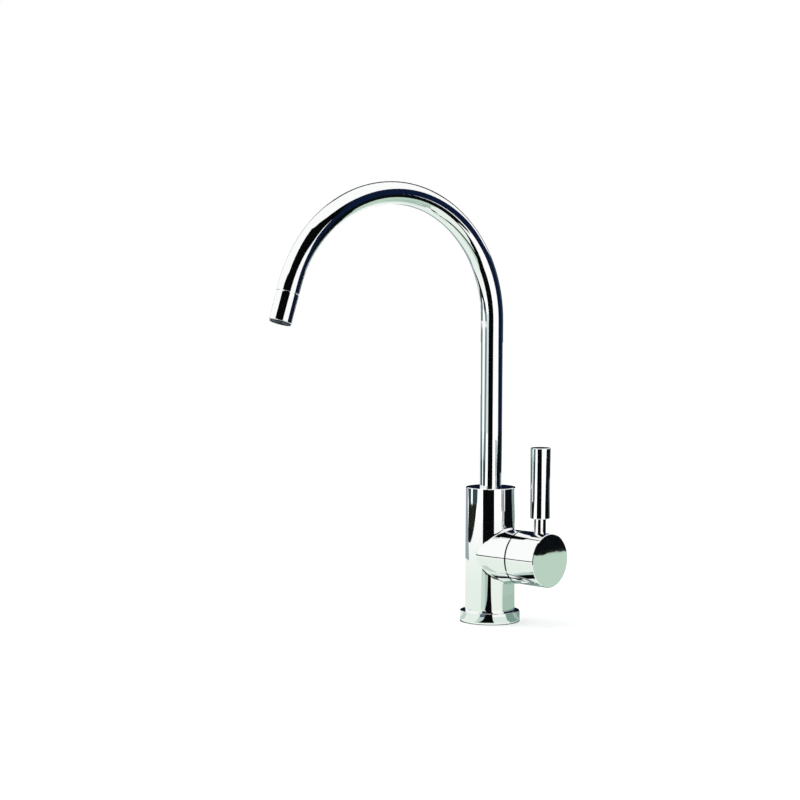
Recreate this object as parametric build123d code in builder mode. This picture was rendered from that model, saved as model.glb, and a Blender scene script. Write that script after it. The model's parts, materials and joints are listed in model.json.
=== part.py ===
from build123d import *
import math
import os

# Swan neck kitchen tap with one lever for hot, cold and filtered water. Millimetres.
# The origin is the middle of the base ring's underside, on the worktop, and +Z is up.
# The lever's boss points along +X. The spout reaches over the sink, at -Y.

# ---------------------------------------------------------------- driving dimensions
# Body and base
body_diameter = 45.0
boss_axis_height = 62.0
neck_height = 60.5  # from the boss's axis to the body's top face
base_ring_height = 11.0
base_ring_overhang = 4.5  # how far the ring stands out past the body
base_flange = 3.0  # thickness of the ring under the body
gasket_thickness = 1.6
gasket_width = 3.0

# Side boss and lever cap
boss_shell = 10.0  # from the cartridge's side to the outside of the boss and cap
boss_blend_margin = 2.5  # the boss reaches its full diameter this far past the body's side
junction_fillet = 2.0
seam_distance = 38.6  # cap rim from the body's axis
seam_gap = 1.4
cap_length = 31.9
cap_wall = 1.6
cap_end_wall = 4.0

# Lever
stem_diameter = 11.0
stem_reach = 36.8  # grip's lower end from the boss's axis
stem_inset = 12.2  # stem's axis from the cap's flat end
grip_diameter = 18.0
grip_length = 62.8
thread_diameter = 8.0
grip_hole_depth = 15.5

# Cartridge, set out from the pin that its spindle tilts on
pivot_depth = 6.4  # pivot's distance past the seam, inside the cap
tilt_range = 20.0  # degrees
cartridge_diameter = 28.0
housing_wall = 1.8
base_face = -24.5
base_top = -19.5
fixed_disc_top = -16.5
moving_disc_top = -13.5
carrier_top = -9.0
guide_bottom = -8.8
guide_shoulder = -4.0
housing_shoulder = -5.0
housing_top = -1.0
guide_top = 4.0
ball_reach = 10.4
ball_diameter = 4.8
spindle_end = 20.5
spindle_width = 7.0

# Spout
tube_diameter = 20.0
tube_wall = 1.2
arc_radius = 113.5
arc_centre_height = 272.0
arc_sweep = 162.4  # degrees
tube_tail = 6.3  # straight end of the tube after the arc
nozzle_length = 25.4
rest_swivel = 9.15  # degrees to the left of straight over the sink
filtered_tube_diameter = 6.4
filtered_tube_bore = 4.4

# Hose ports and studs in the underside
hose_port_diameter = 10.0
hose_port_depth = 14.0
side_port_place = 9.5
side_port_setback = 2.0
filtered_port_setback = 11.5
stud_diameter = 8.0
stud_depth = 18.0
stud_place = 9.5
pocket_diameter = 36.0
pocket_depth = 10.0
channel_radius = 2.6

# Clearances
running_gap = 0.06  # radial, between a shaft and its bearing
swing_gap = 0.3  # between curved faces that move past each other
slide_gap = 0.15  # each side of a guided flat
film = 0.05  # between two sliding ceramic faces
socket_gap = 0.15  # radial, round the spout's spigot
edge_break = 0.5

# ---------------------------------------------------------------- places worked out
body_radius = body_diameter / 2
body_top = boss_axis_height + neck_height
disc_face = seam_distance + cap_length
stem_x = disc_face - stem_inset
pivot_x = seam_distance + pivot_depth
floor_x = pivot_x + base_face
cartridge_radius = cartridge_diameter / 2
boss_radius = cartridge_radius + boss_shell
housing_bore = cartridge_radius - housing_wall
tube_radius = tube_diameter / 2
tube_bore = tube_radius - tube_wall
filtered_radius = filtered_tube_diameter / 2
thread_radius = thread_diameter / 2

boss_axis = Axis((0, 0, boss_axis_height), (1, 0, 0))
# Half section through the boss: local x runs along +X, local y is the radius.
boss_section = Plane(origin=(0, 0, boss_axis_height), x_dir=(1, 0, 0), z_dir=(0, -1, 0))


def boss_plane(x):
    """A plane across the boss at x: local x is +Y and local y is +Z."""
    return Plane(origin=(x, 0, boss_axis_height), x_dir=(0, 1, 0), z_dir=(1, 0, 0))


def from_pivot(distance):
    return boss_plane(pivot_x + distance)


# The five ports in the cartridge's floor: across, up from the boss's axis, and radius.
hot_port = (-(housing_bore - 4.7), -2.0, 2.2)
cold_port = (housing_bore - 4.7, -2.0, 2.2)
filtered_in = (0.0, -(housing_bore - 3.9), 1.8)
filtered_out = (0.0, -2.0, 1.8)
mixed_out = (0.0, housing_bore - 4.4, 2.6)
cartridge_ports = [hot_port, cold_port, filtered_in, filtered_out, mixed_out]
seal_width = 1.2
seal_depth = 1.3
peg_radius = 1.4
peg_length = 3.0
pegs = [(-9.0, 6.5), (9.0, 6.5)]

# ---------------------------------------------------------------- levels up the body's axis
filtered_out_z = boss_axis_height + filtered_out[1]
filtered_tube_end = filtered_out_z + filtered_out[2] + 0.5
filtered_seal_z = filtered_tube_end + 1.2
filtered_seal_height = 2.0
filtered_seal_width = 1.35
chamber_floor = boss_axis_height + 5.0
chamber_radius = tube_radius - 1.5
ledge_z = chamber_floor + 14.7
washer_thickness = 1.5
spigot_bottom = ledge_z + washer_thickness + 0.1
spigot_shoulder = spigot_bottom + 21.0
spigot_neck = 9.0
spigot_bore = 6.5
socket_radius = tube_radius + socket_gap
o_ring_levels = [spigot_bottom + 4.0, spigot_bottom + 10.5]
o_ring_height = 2.4
o_ring_width = 2.0
grub_level = spigot_bottom + 17.0
grub_radius = 2.5
grub_tip_radius = 1.9
grub_groove_height = 4.6
grub_groove_depth = 2.0
lip_thickness = 2.0
bush_height = 8.0
bush_wall = 1.45
bush_top = body_top - lip_thickness
hose_port_face = base_flange + pocket_depth

# ---------------------------------------------------------------- the ball shaped clearances
# The cap tilts about the pivot, so its rim sweeps a sphere, and the boss is cupped to match.
cap_bore = boss_radius - cap_wall
rim_break = 0.3
rim_corner = math.hypot(boss_radius, pivot_depth - rim_break)
cup_radius = rim_corner + 0.12
boss_face_offset = -(pivot_depth + seam_gap)
shroud_radius = cap_bore - swing_gap
collar_radius = shroud_radius - 4.5
collar_end = housing_shoulder + 1.0
outer_sweep = math.atan2(boss_radius - rim_break, pivot_depth) - math.radians(tilt_range)
deepest_reach = math.hypot(boss_radius - rim_break, pivot_depth) * math.cos(outer_sweep)
groove_floor = -(deepest_reach + 0.5)


def on_ball(radius, offset):
    """The point of a ball round the pivot, at an offset along X, in the boss's section."""
    return (pivot_x + offset, math.sqrt(radius**2 - offset**2))


# ================================================================ fixed pieces
# Base ring: the body stands on its inner flange.
base_ring_radius = body_radius + base_ring_overhang
flange_bore = pocket_diameter / 2 + 0.6
gasket_radius = base_ring_radius - 1.6
with BuildPart() as base_ring:
    with BuildSketch(Plane.XY):
        Circle(base_ring_radius)
        Circle(flange_bore, mode=Mode.SUBTRACT)
    extrude(amount=base_ring_height)
    with BuildSketch(Plane.XY.offset(base_flange)):
        Circle(body_radius + 0.05)
    extrude(amount=base_ring_height, mode=Mode.SUBTRACT)
    with BuildSketch(Plane.XY):
        Circle(gasket_radius)
        Circle(gasket_radius - gasket_width, mode=Mode.SUBTRACT)
    extrude(amount=gasket_thickness, mode=Mode.SUBTRACT)
    rims = base_ring.edges().filter_by(GeomType.CIRCLE)
    outer_rims = rims.filter_by(lambda edge: abs(edge.radius - base_ring_radius) < 1e-6)
    fillet(outer_rims.sort_by(Axis.Z)[:1], radius=1.0)
    fillet(outer_rims.sort_by(Axis.Z)[-1:], radius=edge_break)

# Gasket under the ring, level with its underside once it is pressed on the worktop.
with BuildPart() as deck_gasket:
    with BuildSketch(Plane.XY):
        Circle(gasket_radius)
        Circle(gasket_radius - gasket_width, mode=Mode.SUBTRACT)
    extrude(amount=gasket_thickness)

# Body: one upright and one side boss, drilled for three ways in and two ways out.
with BuildPart() as tap_body:
    with BuildSketch(Plane.XY.offset(base_flange)):
        Circle(body_radius)
    extrude(amount=body_top - base_flange)
    chamfer(tap_body.edges().sort_by(Axis.Z)[-1:], length=edge_break)

    # The boss swells from just inside the body's side to its full size.
    root_radius = min(body_radius - 0.3, boss_radius)
    boss_face = pivot_x + boss_face_offset
    with BuildSketch(boss_section):
        with BuildLine():
            Polyline(
                (0, 0),
                (0, root_radius),
                (body_radius + boss_blend_margin, boss_radius),
                (boss_face, boss_radius),
                (boss_face, collar_radius),
                (pivot_x + collar_end, collar_radius),
                (pivot_x + collar_end, 0),
                close=True,
            )
        make_face()
    revolve(axis=boss_axis)
    junction = tap_body.edges().filter_by(
        lambda edge: edge.geom_type not in (GeomType.LINE, GeomType.CIRCLE)
    )
    fillet(junction, radius=junction_fillet)

    # Cup and groove that the cap's rim dips into when the lever tilts.
    cup_start = on_ball(cup_radius, groove_floor)
    cup_end = on_ball(cup_radius, boss_face_offset)
    cup_middle = on_ball(cup_radius, (groove_floor + boss_face_offset) / 2)
    with BuildSketch(boss_section):
        with BuildLine():
            ThreePointArc(cup_start, cup_middle, cup_end)
            Polyline(
                cup_end,
                (boss_face + 1, cup_end[1]),
                (boss_face + 1, collar_radius),
                (pivot_x + groove_floor, collar_radius),
                cup_start,
            )
        make_face()
    revolve(axis=boss_axis, mode=Mode.SUBTRACT)

    # Bore for the cartridge, and a wider mouth for the thread of its nut.
    with BuildSketch(boss_plane(floor_x)):
        Circle(cartridge_radius + 0.1)
    extrude(amount=pivot_x + collar_end - floor_x, mode=Mode.SUBTRACT)
    nut_radius = cartridge_radius + 1.7
    with BuildSketch(from_pivot(housing_shoulder - 4.0)):
        Circle(nut_radius)
    extrude(amount=collar_end - housing_shoulder + 4.0, mode=Mode.SUBTRACT)

    # Ways from the cartridge's floor back into the body.
    drill_ends = {
        hot_port: -side_port_setback,
        cold_port: -side_port_setback,
        filtered_in: -filtered_port_setback,
        filtered_out: 0.0,
        mixed_out: 0.0,
    }
    for port, drill_end in drill_ends.items():
        across, up, radius = port
        with BuildSketch(boss_plane(floor_x)):
            with Locations((across, up)):
                Circle(radius)
        extrude(amount=-(floor_x - drill_end), mode=Mode.SUBTRACT)
    with BuildSketch(boss_plane(floor_x)):
        with Locations(*pegs):
            Circle(peg_radius)
    extrude(amount=-peg_length, mode=Mode.SUBTRACT)

    # Pocket in the underside, with the three hose ports and two stud holes in its roof.
    with BuildSketch(Plane.XY.offset(base_flange)):
        Circle(pocket_diameter / 2)
    extrude(amount=pocket_depth, mode=Mode.SUBTRACT)
    inlet_places = [
        (-side_port_setback, -side_port_place),
        (-side_port_setback, side_port_place),
        (-filtered_port_setback, 0),
    ]
    with BuildSketch(Plane.XY.offset(hose_port_face)):
        with Locations(*inlet_places):
            Circle(hose_port_diameter / 2)
    extrude(amount=hose_port_depth, mode=Mode.SUBTRACT)
    with BuildSketch(Plane.XY.offset(hose_port_face)):
        with Locations(*inlet_places[:2]):
            Circle(channel_radius)
    extrude(amount=boss_axis_height + hot_port[1] - hose_port_face, mode=Mode.SUBTRACT)
    with BuildSketch(Plane.XY.offset(hose_port_face)):
        with Locations(inlet_places[2]):
            Circle(channel_radius)
    extrude(amount=boss_axis_height + filtered_in[1] - hose_port_face, mode=Mode.SUBTRACT)
    with BuildSketch(Plane.XY.offset(hose_port_face)):
        with Locations((stud_place, -stud_place), (stud_place, stud_place)):
            Circle(stud_diameter / 2)
    extrude(amount=stud_depth, mode=Mode.SUBTRACT)

    # Seat of the filtered water tube, then the mixed water chamber and the spout's socket.
    bores = [
        (filtered_out_z - filtered_out[2], filtered_radius + running_gap),
        (filtered_seal_z, filtered_radius + filtered_seal_width + running_gap),
        (chamber_floor, chamber_radius),
        (ledge_z, socket_radius),
    ]
    for bottom, radius in bores:
        with BuildSketch(Plane.XY.offset(bottom)):
            Circle(radius)
        extrude(amount=body_top - lip_thickness - bottom, mode=Mode.SUBTRACT)
    with BuildSketch(Plane.XY.offset(bush_top - bush_height)):
        Circle(tube_radius + running_gap + bush_wall)
    extrude(amount=bush_height, mode=Mode.SUBTRACT)
    with BuildSketch(Plane.XY.offset(bush_top)):
        Circle(tube_radius + swing_gap)
    extrude(amount=lip_thickness, mode=Mode.SUBTRACT)

    # Threaded hole at the back for the screw that keeps the spout in.
    with BuildSketch(Plane.XZ.offset(-body_radius)):
        with Locations((0, grub_level)):
            Circle(grub_radius)
    extrude(amount=body_radius - tube_radius + grub_groove_depth, mode=Mode.SUBTRACT)

# Screw at the back: its tip runs in the spigot's groove and keeps the spout from lifting.
grub_outer = body_radius - 1.5
grub_tip = tube_radius - grub_groove_depth + 0.4
grub_tip_length = 3.0
with BuildPart() as spout_grub_screw:
    with BuildSketch(Plane.XZ.offset(-grub_outer)):
        with Locations((0, grub_level)):
            Circle(grub_radius)
    extrude(amount=grub_outer - grub_tip - grub_tip_length)
    with BuildSketch(Plane.XZ.offset(-grub_outer)):
        with Locations((0, grub_level)):
            Circle(grub_tip_radius)
    extrude(amount=grub_outer - grub_tip)
    with BuildSketch(Plane.XZ.offset(-grub_outer)):
        with Locations((0, grub_level)):
            RegularPolygon(radius=1.25, side_count=6, major_radius=False)
    extrude(amount=2.5, mode=Mode.SUBTRACT)

# Split plastic bush in a groove under the body's top lip: it guides the spout's tube.
with BuildPart() as spout_glide_bush:
    with BuildSketch(Plane.XY.offset(bush_top - bush_height)):
        Circle(tube_radius + running_gap + bush_wall)
        Circle(tube_radius + running_gap, mode=Mode.SUBTRACT)
        with Locations((-tube_radius, 0)):
            Rectangle(2 * tube_wall + 2, 1.0, mode=Mode.SUBTRACT)
    extrude(amount=bush_height)

# Plastic washer that the turning spigot stands on.
with BuildPart() as thrust_washer:
    with BuildSketch(Plane.XY.offset(ledge_z)):
        Circle(socket_radius - running_gap)
        Circle(chamber_radius, mode=Mode.SUBTRACT)
    extrude(amount=washer_thickness)

# Cartridge base: five ports, a seal round each on both faces, and two pegs.
with BuildPart() as cartridge_base:
    with BuildSketch(from_pivot(base_face)):
        Circle(cartridge_radius)
    extrude(amount=2.5)
    with BuildSketch(from_pivot(base_face)):
        Circle(housing_bore)
    extrude(amount=base_top - base_face)
    with BuildSketch(from_pivot(base_face)):
        with Locations(*pegs):
            Circle(peg_radius)
    extrude(amount=-peg_length)
    for across, up, radius in cartridge_ports:
        with BuildSketch(from_pivot(base_face)):
            with Locations((across, up)):
                Circle(radius)
        extrude(amount=base_top - base_face, mode=Mode.SUBTRACT)
        with BuildSketch(from_pivot(base_face), from_pivot(base_top - seal_depth)):
            with Locations((across, up)):
                Circle(radius + seal_width)
        extrude(amount=seal_depth, mode=Mode.SUBTRACT)


def port_seals(face):
    """A ring of rubber round each of the five ports, standing on a face of the cartridge base."""
    with BuildPart() as seals:
        with BuildSketch(from_pivot(face)):
            for across, up, radius in cartridge_ports:
                with Locations((across, up)):
                    Circle(radius + seal_width)
            for across, up, radius in cartridge_ports:
                with Locations((across, up)):
                    Circle(radius, mode=Mode.SUBTRACT)
        extrude(amount=seal_depth)
    return seals.part


base_seals = port_seals(base_face)
disc_seals = port_seals(base_top - seal_depth)

# Fixed ceramic disc, with the same five ports.
with BuildPart() as fixed_ceramic_disc:
    with BuildSketch(from_pivot(base_top)):
        Circle(housing_bore)
        for across, up, radius in cartridge_ports:
            with Locations((across, up)):
                Circle(radius, mode=Mode.SUBTRACT)
    extrude(amount=fixed_disc_top - base_top)

# Cartridge housing: a cup over the discs, with a neck that the spindle guide turns in.
guide_neck_radius = 8.9
housing_neck_radius = cartridge_radius - 1.5
with BuildPart() as cartridge_housing:
    with BuildSketch(from_pivot(base_face + 2.5)):
        Circle(cartridge_radius)
    extrude(amount=housing_shoulder - base_face - 2.5)
    with BuildSketch(from_pivot(housing_shoulder)):
        Circle(housing_neck_radius)
    extrude(amount=housing_top - housing_shoulder)
    with BuildSketch(from_pivot(base_face + 2.5)):
        Circle(housing_bore)
    extrude(amount=guide_shoulder + 0.2 - base_face - 2.5, mode=Mode.SUBTRACT)
    with BuildSketch(from_pivot(guide_shoulder)):
        Circle(guide_neck_radius + running_gap)
    extrude(amount=housing_top - guide_shoulder, mode=Mode.SUBTRACT)

# Ring nut that clamps the cartridge down by its shoulder.
nut_length = 6.0
with BuildPart() as cartridge_nut:
    with BuildSketch(from_pivot(housing_shoulder)):
        Circle(nut_radius)
        Circle(housing_neck_radius + 0.2, mode=Mode.SUBTRACT)
    extrude(amount=nut_length)
    with BuildSketch(from_pivot(housing_shoulder + nut_length - 2.0)):
        with PolarLocations(nut_radius - 1.0, 6):
            Rectangle(2.6, 3.0)
    extrude(amount=2.0, mode=Mode.SUBTRACT)

# Ball shaped shroud, screwed on the boss's collar: it shows when the seam opens.
shroud_web = 1.5
shroud_end = 3.8
shroud_tip = -math.sqrt(shroud_radius**2 - collar_radius**2)
shroud_hole = guide_neck_radius + 1.6
with BuildPart() as cartridge_shroud:
    ball_start = on_ball(shroud_radius, shroud_tip)
    ball_end = on_ball(shroud_radius, shroud_end)
    ball_middle = on_ball(shroud_radius, (shroud_tip + shroud_end) / 2)
    with BuildSketch(boss_section):
        with BuildLine():
            ThreePointArc(ball_start, ball_middle, ball_end)
            Polyline(
                ball_end,
                (ball_end[0], shroud_hole),
                (ball_end[0] - shroud_web, shroud_hole),
                (ball_end[0] - shroud_web, shroud_radius - 2.1),
                (pivot_x + collar_end, shroud_radius - 2.1),
                (pivot_x + collar_end, collar_radius),
                ball_start,
            )
        make_face()
    revolve(axis=boss_axis)

# ================================================================ pieces that turn with the lever
# Spindle guide: turns in the housing's neck, and carries the spindle's pin in two ears.
guide_flange_radius = housing_bore - swing_gap
ear_slot = spindle_width / 2 + 0.3
rail_inner = 3.0
rail_outer = 4.5
rail_height = 1.5
shaft_radius = 1.9
pin_radius = 1.5
barrel_radius = 4.2
pin_length = 15.0
slide_travel = ball_reach * math.sin(math.radians(tilt_range))
with BuildPart() as spindle_guide:
    with BuildSketch(from_pivot(guide_bottom)):
        Circle(guide_flange_radius)
    extrude(amount=guide_shoulder - guide_bottom)
    with BuildSketch(from_pivot(guide_bottom)):
        Circle(guide_neck_radius)
    extrude(amount=guide_top - guide_bottom)
    with BuildSketch(from_pivot(-barrel_radius - 0.4)):
        Rectangle(2 * ear_slot, 2 * guide_neck_radius + 2)
    extrude(amount=guide_top + barrel_radius + 0.4, mode=Mode.SUBTRACT)
    # The spindle's thin end swings up in this slot.
    slot_low = -(shaft_radius + 0.4)
    slot_high = slide_travel + shaft_radius + 0.5
    with BuildSketch(from_pivot(guide_bottom)):
        with Locations((0, (slot_low + slot_high) / 2)):
            Rectangle(2 * (shaft_radius + 0.4), slot_high - slot_low)
    extrude(amount=guide_top - guide_bottom, mode=Mode.SUBTRACT)
    # Two grooves for the rails of the disc carrier.
    with BuildSketch(from_pivot(guide_bottom)):
        for side in (-1, 1):
            with Locations((side * (rail_inner + rail_outer) / 2, 0)):
                Rectangle(rail_outer - rail_inner + 2 * slide_gap, 2 * guide_flange_radius + 2)
    extrude(amount=rail_height, mode=Mode.SUBTRACT)
    with BuildSketch(Plane.XZ.offset(-pin_length / 2)):
        with Locations((pivot_x, boss_axis_height)):
            Circle(pin_radius)
    extrude(amount=pin_length, mode=Mode.SUBTRACT)

# Pin that the spindle tilts on.
with BuildPart() as spindle_pin:
    with BuildSketch(Plane.XZ.offset(-pin_length / 2)):
        with Locations((pivot_x, boss_axis_height)):
            Circle(pin_radius)
    extrude(amount=pin_length)

# ================================================================ pieces that slide in the cartridge
# At rest the sliding pair sits half its travel below the middle, and the tap is shut.
disc_rest = -slide_travel / 2
disc_radius = housing_bore - slide_travel / 2 - 0.9
with BuildPart() as moving_ceramic_disc:
    with BuildSketch(from_pivot(fixed_disc_top + film)):
        with Locations((0, disc_rest)):
            Circle(disc_radius)
    extrude(amount=moving_disc_top - fixed_disc_top - film)
    # Blind pocket in the sliding face, which joins the ports it lies over.
    with BuildSketch(from_pivot(fixed_disc_top + film)):
        with Locations((0, disc_rest + 4.0)):
            RectangleRounded(12.0, 5.0, 2.0)
    extrude(amount=1.5, mode=Mode.SUBTRACT)

# Carrier on the disc's back: two rails in the guide, and a socket for the spindle's ball.
with BuildPart() as disc_carrier:
    with BuildSketch(from_pivot(moving_disc_top)):
        with Locations((0, disc_rest)):
            Circle(disc_radius)
    extrude(amount=carrier_top - moving_disc_top)
    with BuildSketch(from_pivot(carrier_top)):
        for side in (-1, 1):
            with Locations((side * (rail_inner + rail_outer) / 2, disc_rest)):
                Rectangle(rail_outer - rail_inner, 2 * disc_radius - 4)
    extrude(amount=rail_height)
    with BuildSketch(from_pivot(moving_disc_top + 0.5)):
        Circle(ball_diameter / 2 + slide_gap)
    extrude(amount=carrier_top - moving_disc_top - 0.5, mode=Mode.SUBTRACT)

# ================================================================ pieces that tilt with the lever
# Spindle: a ball at its inner end, a barrel on the pin, and a square outer end.
with BuildPart() as lever_spindle:
    with BuildSketch(from_pivot(-ball_reach)):
        Circle(shaft_radius)
    extrude(amount=ball_reach)
    with Locations((pivot_x - ball_reach, 0, boss_axis_height)):
        Sphere(ball_diameter / 2)
    with BuildSketch(Plane.XZ.offset(-spindle_width / 2)):
        with Locations((pivot_x, boss_axis_height)):
            Circle(barrel_radius)
    extrude(amount=spindle_width)
    with BuildSketch(from_pivot(0)):
        Rectangle(spindle_width, spindle_width)
    extrude(amount=spindle_end)
    with BuildSketch(Plane.XZ.offset(-spindle_width)):
        with Locations((pivot_x, boss_axis_height)):
            Circle(pin_radius + running_gap)
    extrude(amount=2 * spindle_width, mode=Mode.SUBTRACT)

# Lever cap: a cup with a hub on the spindle and a column that takes the stem's thread.
hub_radius = 8.0
hub_start = pivot_x + 9.5
column_radius = 7.2
cap_inner_end = disc_face - cap_end_wall
seat_depth = 1.0
stem_seat = math.sqrt(boss_radius**2 - (stem_diameter / 2 + 0.1) ** 2) - seat_depth
with BuildPart() as lever_cap:
    with BuildSketch(boss_section):
        with BuildLine():
            Polyline(
                (seam_distance, cap_bore),
                (seam_distance, boss_radius - rim_break),
                (seam_distance + rim_break, boss_radius),
                (disc_face - edge_break, boss_radius),
                (disc_face, boss_radius - edge_break),
                (disc_face, 0),
                (hub_start, 0),
                (hub_start, hub_radius),
                (cap_inner_end, hub_radius),
                (cap_inner_end, cap_bore),
                close=True,
            )
        make_face()
    revolve(axis=boss_axis)
    with BuildSketch(Plane.XY.offset(boss_axis_height)):
        with Locations((stem_x, 0)):
            Circle(column_radius)
    extrude(amount=cap_bore)
    with BuildSketch(boss_plane(stem_x - column_radius)):
        Rectangle(spindle_width, spindle_width)
    extrude(amount=pivot_x + spindle_end - stem_x + column_radius, mode=Mode.SUBTRACT)
    with BuildSketch(Plane.XY.offset(boss_axis_height)):
        with Locations((stem_x, 0)):
            Circle(thread_radius)
    extrude(amount=boss_radius, mode=Mode.SUBTRACT)
    with BuildSketch(Plane.XY.offset(boss_axis_height + stem_seat)):
        with Locations((stem_x, 0)):
            Circle(stem_diameter / 2)
    extrude(amount=seat_depth + boss_radius - stem_seat, mode=Mode.SUBTRACT)

# Stem: its lower thread clamps the spindle, and its upper thread takes the grip.
with BuildPart() as lever_stem:
    with BuildSketch(Plane.XY.offset(boss_axis_height + spindle_width / 2)):
        with Locations((stem_x, 0)):
            Circle(thread_radius)
    extrude(amount=stem_reach + grip_hole_depth - 0.5 - spindle_width / 2)
    with BuildSketch(Plane.XY.offset(boss_axis_height + stem_seat)):
        with Locations((stem_x, 0)):
            Circle(stem_diameter / 2)
    extrude(amount=stem_reach - stem_seat)

# Grip: a plain thick rod with a blind threaded hole.
with BuildPart() as lever_grip:
    with BuildSketch(Plane.XY.offset(boss_axis_height + stem_reach)):
        with Locations((stem_x, 0)):
            Circle(grip_diameter / 2)
    extrude(amount=grip_length)
    chamfer(lever_grip.faces().filter_by(Axis.Z).edges(), length=edge_break)
    with BuildSketch(Plane.XY.offset(boss_axis_height + stem_reach)):
        with Locations((stem_x, 0)):
            Circle(thread_radius)
    extrude(amount=grip_hole_depth, mode=Mode.SUBTRACT)

# ================================================================ pieces that swing with the spout
swivel = math.radians(rest_swivel)
# Section along the spout: local x is the reach from the body's axis, local y is the height.
spout_section = Plane(
    origin=(0, 0, 0),
    x_dir=(-math.sin(swivel), -math.cos(swivel), 0),
    z_dir=(-math.cos(swivel), math.sin(swivel), 0),
)


def spout_path(bottom, tail):
    """The spout's centre line, from a height inside the body to a straight length past the arc."""
    with BuildLine(spout_section) as path:
        Line((0, bottom), (0, arc_centre_height))
        arc = JernArc((0, arc_centre_height), (0, 1), arc_radius, -arc_sweep)
        Line(arc @ 1, arc @ 1 + (arc % 1) * tail)
    return path.line


# Spout tube: straight riser, long round arc and a short straight end.
tube_line = spout_path(spigot_shoulder, tube_tail)
with BuildPart() as spout_tube:
    with BuildSketch(Plane.XY.offset(spigot_shoulder)):
        Circle(tube_radius)
        Circle(tube_bore, mode=Mode.SUBTRACT)
    sweep(path=tube_line)
    rims = spout_tube.edges().filter_by(
        lambda edge: abs(edge.length - 2 * math.pi * tube_radius) < 0.01
    )
    chamfer(rims.sort_by_distance(tube_line @ 1)[:1], length=0.5)

# Planes across the nozzle, counted from the seam at the end of the tube.
nozzle_start = Plane(origin=tube_line @ 1, x_dir=spout_section.z_dir, z_dir=tube_line % 1)

# Spigot: brazed in the tube's foot, with grooves for two O-rings and the screw's tip.
with BuildPart() as spout_spigot:
    with BuildSketch(Plane.XY.offset(spigot_bottom)):
        Circle(tube_radius)
    extrude(amount=spigot_shoulder - spigot_bottom)
    with BuildSketch(Plane.XY.offset(spigot_shoulder)):
        Circle(tube_bore)
    extrude(amount=spigot_neck)
    for level in o_ring_levels:
        with BuildSketch(Plane.XY.offset(level - o_ring_height / 2 - 0.1)):
            Circle(tube_radius)
            Circle(tube_radius + socket_gap - running_gap - o_ring_width, mode=Mode.SUBTRACT)
        extrude(amount=o_ring_height + 0.2, mode=Mode.SUBTRACT)
    with BuildSketch(Plane.XY.offset(grub_level - grub_groove_height / 2)):
        Circle(tube_radius)
        Circle(tube_radius - grub_groove_depth, mode=Mode.SUBTRACT)
    extrude(amount=grub_groove_height, mode=Mode.SUBTRACT)
    with BuildSketch(Plane.XY.offset(spigot_bottom)):
        Circle(spigot_bore)
    extrude(amount=spigot_shoulder - spigot_bottom + spigot_neck, mode=Mode.SUBTRACT)

# Two O-rings that seal the spigot in its socket.
with BuildPart() as spout_o_rings:
    for level in o_ring_levels:
        with BuildSketch(Plane.XY.offset(level - o_ring_height / 2)):
            Circle(socket_radius - running_gap)
            Circle(socket_radius - running_gap - o_ring_width, mode=Mode.SUBTRACT)
        extrude(amount=o_ring_height)
    fillet(spout_o_rings.edges().filter_by(GeomType.CIRCLE), radius=0.6)

# Filtered water tube: runs inside the spout, so filtered water never meets mixed water.
core_start = 10.5
core_socket = 6.0
filtered_line = spout_path(filtered_tube_end, tube_tail + core_start + core_socket)
with BuildPart() as filtered_water_tube:
    with BuildSketch(Plane.XY.offset(filtered_tube_end)):
        Circle(filtered_radius)
        Circle(filtered_tube_bore / 2, mode=Mode.SUBTRACT)
    sweep(path=filtered_line)

# O-ring that seals the foot of that tube in the body.
with BuildPart() as filtered_tube_o_ring:
    with BuildSketch(Plane.XY.offset(filtered_seal_z + 0.1)):
        Circle(filtered_radius + filtered_seal_width)
        Circle(filtered_radius, mode=Mode.SUBTRACT)
    extrude(amount=filtered_seal_height)

# Threaded bush brazed in the spout's end, which the nozzle screws on.
end_thread_radius = tube_radius - 1.6
end_thread_length = 7.0
end_bush_bore = 6.8
with BuildPart() as spout_end_bush:
    with BuildSketch(nozzle_start):
        Circle(tube_bore)
    extrude(amount=-tube_tail)
    with BuildSketch(nozzle_start):
        Circle(end_thread_radius)
    extrude(amount=end_thread_length)
    with BuildSketch(nozzle_start.offset(-tube_tail)):
        Circle(end_bush_bore)
    extrude(amount=tube_tail + end_thread_length, mode=Mode.SUBTRACT)

# Rubber ring between the bush and the nozzle's inner shoulder.
nozzle_seal_height = 1.5
with BuildPart() as nozzle_seal:
    with BuildSketch(nozzle_start.offset(end_thread_length)):
        Circle(end_thread_radius)
        Circle(end_bush_bore, mode=Mode.SUBTRACT)
    extrude(amount=nozzle_seal_height)

# Nozzle sleeve: level with the tube, with a shoulder inside and the aerator at its tip.
shoulder_start = end_thread_length + nozzle_seal_height
shoulder_bore = 7.2
with BuildPart() as nozzle_sleeve:
    with BuildSketch(nozzle_start):
        Circle(tube_radius)
    extrude(amount=nozzle_length)
    chamfer(nozzle_sleeve.edges().group_by(Axis.Z)[-1], length=0.5)
    fillet(nozzle_sleeve.edges().group_by(Axis.Z)[0], radius=0.6)
    with BuildSketch(nozzle_start):
        Circle(shoulder_bore)
    extrude(amount=nozzle_length, mode=Mode.SUBTRACT)
    with BuildSketch(nozzle_start):
        Circle(end_thread_radius)
    extrude(amount=shoulder_start, mode=Mode.SUBTRACT)
    with BuildSketch(nozzle_start.offset(shoulder_start + 1.5)):
        Circle(end_thread_radius)
    extrude(amount=nozzle_length, mode=Mode.SUBTRACT)

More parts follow.
